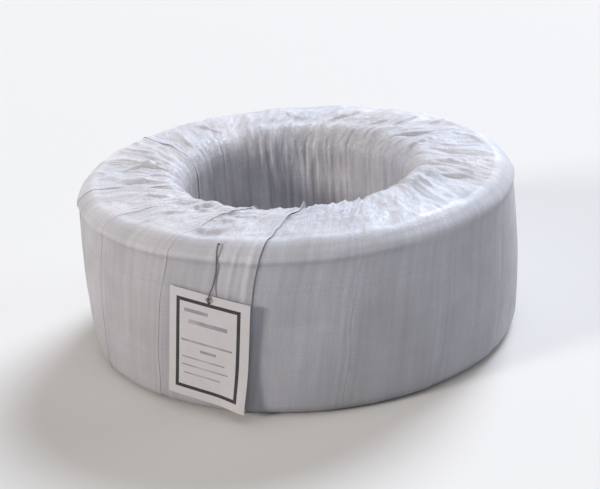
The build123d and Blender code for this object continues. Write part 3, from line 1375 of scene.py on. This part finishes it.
@dataclass(frozen=True)
class PrintedCard:
    """Matt card with a printed frame and faint ruled lines."""

    paper: Colour = (0.745, 0.715, 0.725, 1.0)
    worn_paper: Colour = (0.6, 0.56, 0.55, 1.0)
    ink: Colour = (0.02, 0.02, 0.025, 1.0)
    faint_ink: Colour = (0.2, 0.19, 0.25, 1.0)
    faint_share: float = 0.7
    frame: Box = (7.9, 80.1, 8.9, 110.8)
    frame_line: float = 3.9
    rules: tuple[Box, ...] = (
        (17, 44, 98, 4.0), (22, 66, 86, 4.4), (14, 72, 64, 2.2), (36, 54, 55, 3.0), (15, 64, 45, 1.5),
        (15, 68, 36, 1.5), (18, 60, 27, 1.5),
    )  # from, to, height and thickness in millimetres
    uneven_ink: Streaks = Streaks((60.0, 90.0), 1.0, 0.5, (0.3, 0.65), (0.6, 1.0))
    ink_gaps: Ramp = (0.3, 0.5, 0.8, 1.0)
    wear: Ramp = (0.45, 0.8, 0.0, 0.3)
    roughness: Ramp = (0.2, 0.8, 0.6, 0.75)
    fibres: float = 900.0  # in a metre
    dents: float = 60.0
    fibre_depth: float = 0.05  # millimetres
    dent_depth: float = 1.2
    bump: float = 0.6

    def make(self) -> bpy.types.Material:
        """Build the material.

        Returns:
            The printed card.
        """
        material, graph, shader = start_material("tag_card")
        uv = graph.node("ShaderNodeUVMap", uv_map="card").outputs[0]
        to_mm = (1 / MM, 1 / MM, 1.0)
        place = graph.node("ShaderNodeSeparateXYZ", {0: graph.stretch(uv, to_mm)}).outputs[:2]
        left, right, foot, head = self.frame
        line = self.frame_line
        outer = self._inside(graph, place, self.frame)
        inner = self._inside(graph, place, (left + line, right - line, foot + line, head - line))
        frame = graph.math("SUBTRACT", outer, inner, clamp=True)
        faint: Socket | float = 0.0
        for start, end, height, thick in self.rules:
            rule = self._inside(graph, place, (start, end, height - thick / 2, height + thick / 2))
            faint = graph.math("MAXIMUM", faint, rule)
        fibres = graph.cloud(uv, self.fibres, 3.0, 0.6)
        dents = graph.cloud(uv, self.dents, 4.0, 0.6)
        paper = graph.blend(graph.ramp(dents, *self.wear), self.paper, self.worn_paper)
        ruled = graph.product(faint, self.uneven_ink.shade(graph, uv), self.faint_share)
        paper = graph.blend(ruled, paper, self.faint_ink)
        printed = graph.product(frame, graph.ramp(fibres, *self.ink_gaps))
        rough = graph.ramp(fibres, *self.roughness)
        height = graph.math("MULTIPLY_ADD", dents, self.dent_depth, graph.product(fibres, self.fibre_depth))
        graph.dress(shader, graph.blend(printed, paper, self.ink), rough, height, self.bump, MM)
        return material

    @staticmethod
    def _inside(graph: Graph, place: list[Socket], box: Box) -> Socket:
        """Mask what lies inside an upright box.

        Args:
            graph: The material's graph.
            place: The place across and up the card, in millimetres.
            box: The box.

        Returns:
            The mask's socket, 1 inside.
        """
        sides = []
        for value, low, high in zip(place, box[::2], box[1::2]):
            sides += [graph.math("GREATER_THAN", value, low), graph.math("LESS_THAN", value, high)]
        return graph.product(*sides)


@dataclass(frozen=True)
class TwistedFibre:
    """Dark twine of twisted fibre."""

    dark: Colour = (0.1, 0.08, 0.07, 1.0)
    light: Colour = (0.34, 0.29, 0.25, 1.0)
    slant: tuple[float, float, float] = (1.4, 1.4, 1.0)
    strands: float = 230.0  # in a metre
    unevenness: float = 1.5
    hairs: float = 2500.0  # in a metre
    hair_share: float = 0.4
    roughness: Ramp = (0.2, 0.8, 0.7, 0.9)
    bump: float = 0.7
    strand_depth: float = 0.3 * MM

    def make(self) -> bpy.types.Material:
        """Build the material.

        Returns:
            The twine's fibre.
        """
        material, graph, shader = start_material("twine")
        place = graph.object_place()
        twist = {"Vector": graph.stretch(place, self.slant), "Scale": self.strands}
        twist["Distortion"] = self.unevenness
        strands = graph.node("ShaderNodeTexWave", twist, bands_direction="DIAGONAL").outputs[1]
        hairs = graph.cloud(place, self.hairs, 2.0)
        strand_share = graph.product(strands, 1 - self.hair_share)
        share = graph.math("MULTIPLY_ADD", hairs, self.hair_share, strand_share)
        colour = graph.blend(share, self.dark, self.light)
        rough = graph.ramp(hairs, *self.roughness)
        graph.dress(shader, colour, rough, strands, self.bump, self.strand_depth)
        return material


@dataclass(frozen=True)
class Galvanized:
    """Zinc coated steel wire with a faint spangle."""

    name: str
    bright: Colour = (0.62, 0.63, 0.65, 1.0)
    dull: Colour = (0.44, 0.45, 0.47, 1.0)
    dirt: Dirt = Dirt((0.3, 0.3, 0.3, 1.0), 0.3, 20.0, 0.3)
    spangles: float = 260.0  # in a metre
    roughness: Ramp = (0.0, 1.0, 0.35, 0.55)
    wire_pitch: float = 3.0 * MM
    bump: float = 0.8

    def make(self, effects: SurfaceEffects) -> bpy.types.Material:
        """Build the material.

        Args:
            effects: The shared node groups.

        Returns:
            The zinc coated steel.
        """
        material, graph, shader = start_material(self.name)
        place = graph.object_place()
        spangle = graph.node("ShaderNodeTexVoronoi", {"Vector": place, "Scale": self.spangles})
        grey = graph.node("ShaderNodeSeparateColor", {0: spangle.outputs["Color"]}).outputs[0]
        colour = graph.blend(grey, self.dull, self.bright)
        colour = self.dirt.over(graph, self.dirt.mask(graph, effects, place), colour)
        shader.inputs["Metallic"].default_value = 1.0
        height = graph.node("ShaderNodeSeparateXYZ", {0: place}).outputs[2]
        turns = graph.math("SINE", graph.product(height, 2 * math.pi / self.wire_pitch))
        rough = graph.ramp(grey, *self.roughness)
        graph.dress(shader, colour, rough, turns, self.bump, self.wire_pitch / 4)
        return material


@dataclass(frozen=True)
class Lamp:
    """A soft lamp far away."""

    name: str
    towards: tuple[float, float, float]  # from the coil to the lamp
    softness: float  # degrees
    strength: float
    colour: tuple[float, float, float]

    def place(self) -> None:
        """Hang the lamp where it shines on the coil."""
        data = bpy.data.lights.new(self.name, "SUN")
        data.angle = math.radians(self.softness)
        data.energy = self.strength
        data.color = self.colour
        place_object(self.name, data).matrix_world = looking(Vector(self.towards), Vector())


@dataclass(frozen=True)
class Studio:
    """The pale floor, the soft lamps and the camera."""

    eye: tuple[float, float, float] = (0.0, -1.601, 0.729)
    aim: tuple[float, float, float] = (0.0, 0.0, 0.092)
    lens: float = 92.0
    roll: float = -4.0  # degrees
    lamps: tuple[Lamp, ...] = (
        Lamp("overhead", (0.9, 1.6, 1.5), 26.0, 2.85, (0.86, 0.94, 1.07)),
        Lamp("front_left", (-2.4, -1.3, 1.1), 14.0, 1.35, (1.0, 0.93, 0.86)),
        Lamp("right", (2.4, 0.42, 0.9), 28.0, 0.4, (0.92, 0.95, 1.0)),
        Lamp("above", (0.0, -0.3, 1.0), 50.0, 0.36, (0.94, 0.97, 1.03)),
    )
    sky: Colour = (0.97, 0.98, 1.0, 1.0)
    sky_light: float = 0.23
    sky_shown: float = 0.96  # where the camera sees it
    floor_size: float = 12.0  # from its middle to its sides
    floor_roughness: float = 0.9
    floor_colour: Colour = (0.84, 0.81, 0.775, 1.0)
    unseen_floor: Colour = (0.45, 0.44, 0.44, 1.0)  # what lights the wall from below

    def build(self) -> None:
        """Make the camera, the lamps, the world and the floor."""
        self._camera()
        for lamp in self.lamps:
            lamp.place()
        self._world()
        self._floor()

    def _camera(self) -> None:
        """Aim the camera as the photograph looks at the coil."""
        data = bpy.data.cameras.new("camera")
        data.lens = self.lens
        camera = place_object("camera", data)
        roll = Matrix.Rotation(math.radians(self.roll), 4, "Z")
        camera.matrix_world = looking(Vector(self.eye), Vector(self.aim)) @ roll
        bpy.context.scene.camera = camera

    def _world(self) -> None:
        """Pale surroundings that light softly and show white."""
        world = bpy.data.worlds.new("surroundings")
        world.use_nodes = True
        bpy.context.scene.world = world
        graph = Graph(world.node_tree)
        back = world.node_tree.nodes["Background"]
        back.inputs[0].default_value = self.sky
        strength = graph.math("MULTIPLY_ADD", graph.seen(), self.sky_shown - self.sky_light, self.sky_light)
        graph.feed(back.inputs[1], strength)

    def _floor(self) -> None:
        """A wide plain floor."""
        bm = bmesh.new()
        bmesh.ops.create_grid(bm, x_segments=1, y_segments=1, size=self.floor_size)
        material, graph, shader = start_material("pale_floor")
        colour = graph.blend(graph.seen(), self.unseen_floor, self.floor_colour)
        graph.feed(shader.inputs["Base Color"], colour)
        shader.inputs["Roughness"].default_value = self.floor_roughness
        finish_mesh(bm, "floor", material)


def main() -> None:
    """Build every new piece, dress it, attach it to the coil's body and hide the solid part it stands in
    for; the wire and ties keep their solids.
    """
    logging.basicConfig(level=logging.INFO, format="%(name)s: %(message)s")
    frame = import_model()
    bpy.context.scene.view_settings.view_transform = "Standard"
    Studio().build()

    effects = SurfaceEffects()
    fibre = TwistedFibre().make()
    tag_twine = TagTwine()
    twine, knot = tag_twine.build(fibre), tag_twine.knot(fibre)
    for piece in (twine, knot):
        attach(piece, BODY)
    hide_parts("tag_twine")
    tuple(tag_twine.exit)
    tag_twine.length
    LOG.info("twine and its knot")

    wrap = WovenWrap()
    for turn in wrap.build(WovenPlastic().make(effects)):
        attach(turn, BODY)
        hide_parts("woven_wrap")

    tag = HangTag().build(PrintedCard().make())
    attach(tag, BODY)
    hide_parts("tag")
    LOG.info("tag")

    for node, name in (("wire_coil", "galvanized_wire"), ("binding_ties", "galvanized_tie")):
        mesh = frame["nodes"][node].data
        mesh.materials.clear()
        mesh.materials.append(Galvanized(name).make(effects))
        LOG.info("%s keeps its solid", node)


if __name__ == "__main__":
    main()
